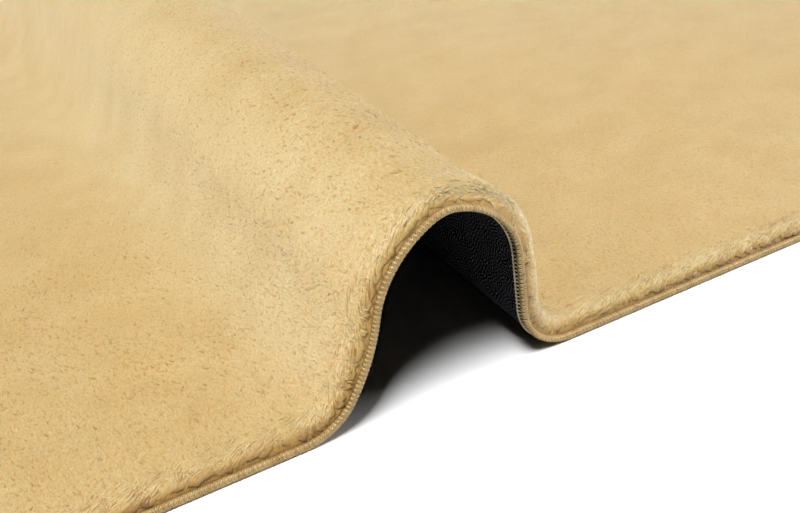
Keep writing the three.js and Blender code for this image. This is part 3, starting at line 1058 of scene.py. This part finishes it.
def makeThreads():
    allPoints, allFaces, places, first = [], [], [], 0
    for line, low in ((binding["legs"], 0.0), (binding["links"], 0.5)):
        steps = len(line)
        centres = np.stack([byEdge(turnPlaces + shift, *ring)[0] for shift, *ring in line], 1)
        widths = np.full((turnCount, steps), binding["threadWidth"])
        corners, faces = strips(centres, -sidesOf(centres), widths, widths, threeSided, False)
        per = corners.shape[1]
        allPoints.append(corners.reshape(-1, 3))
        allFaces.append(repeated(faces, turnCount, per) + first)
        first += turnCount * per
        square = np.stack([np.tile([0.0, 1.0, 0.5], steps), np.repeat(np.linspace(0, 1, steps), 3)], 1)
        places.append(cellMap(turnCount, square) * (1, 0.48) + (0, low))
    flat = np.concatenate(allPoints)
    # the threads take the yarn's palest colour: painted light where they lie in shade under the edge
    return yarnPiece("bindingThreads", flat, np.concatenate(allFaces), (1.0,) * 4, np.concatenate(places))


backing = makeBacking()
pilePlush = makePile()
print("backing and pile made")
tufts = makeTufts()
rimLocks = makeRim()
looseFibres = [makeFuzz(), makeLoose()]
print("tufts, rim locks and fuzz made")
core, turns, threads = makeCore(), makeTurns(), makeThreads()
print("binding made")


# Camera: where the photograph was taken from
view = dict(
    place=(-0.4652, -0.7752, 0.3935), turn=32.60, pitch=33.14, lens=48.29, sensor=36, near=0.01, far=50
)


def makeCamera():
    data = bpy.data.cameras.new("camera")
    camera = addObject("camera", data)
    data.lens = view["lens"]
    data.sensor_width = view["sensor"]
    data.clip_start = view["near"]
    data.clip_end = view["far"]
    camera.location = view["place"]
    camera.rotation_euler = (math.radians(90 - view["pitch"]), 0, math.radians(-view["turn"]))
    bpy.context.scene.camera = camera


# Stage: a matt white paper floor, four soft boxes, and a white wall that only the camera sees
floorLook = {"Base Color": linear("#f8f8f8"), "Roughness": 0.9, "Specular IOR Level": 0.1}
floorSize = 12
wallLight = 0.001  # what the wall gives to everything else

# place, what it points at, size in metres and power in watts
softBoxes = dict(
    overheadBox=((-2.9, -1.9, 10.0), (-0.1, -0.1, 0), 3.4, 1490),
    sideBox=((-9.0, 4.3, 5.6), (-0.1, 0, 0.05), 6.6, 500),
    rightBox=((6.0, 1.5, 7.5), (-0.1, 0, 0.05), 4.0, 100),
    lowBox=((9.5, -1.6, 2.8), (-0.1, 0, 0.05), 3.0, 525),
)


def makeFloor():
    bpy.ops.object.select_all(action="DESELECT")
    bpy.ops.mesh.primitive_plane_add(size=floorSize, location=(0, 0, 0))
    floor = bpy.context.object
    floor.name = "floor"
    material, tree, shader = newMaterial("whiteStudioPaper")
    setInputs(tree, shader, floorLook)
    floor.data.materials.append(material)


def makeLight(name, place, target, size, power):
    data = bpy.data.lights.new(name, "AREA")
    data.shape = "SQUARE"
    data.size = size
    data.energy = power
    light = addObject(name, data)
    light.location = place
    light.rotation_euler = (Vector(target) - Vector(place)).to_track_quat("-Z", "Y").to_euler()


def makeWorld():
    world = bpy.data.worlds.new("studio")
    bpy.context.scene.world = world
    world.use_nodes = True
    tree = world.node_tree
    seen = addNode(tree, "LightPath", output="Is Camera Ray")
    bright = addNode(tree, "MapRange", {"Value": seen, "To Min": wallLight})
    setInputs(tree, tree.nodes["Background"], {"Color": linear("#ffffff"), "Strength": bright})


makeCamera()
makeFloor()
for name, box in softBoxes.items():
    makeLight(name, *box)
makeWorld()
bpy.context.scene.view_settings.view_transform = "Standard"
print("camera, floor and lights made")


# Pieces: hung from one body, with the CAD parts they replace hidden
plushPieces = [pilePlush, rimLocks, *looseFibres, *tufts]
for piece in [backing, core, turns, threads, *plushPieces]:
    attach(piece, "root")
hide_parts("backing")
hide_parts("binding")
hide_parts("pile", "rim_front", "rim_back", "rim_left", "rim_right")
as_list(plushPieces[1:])
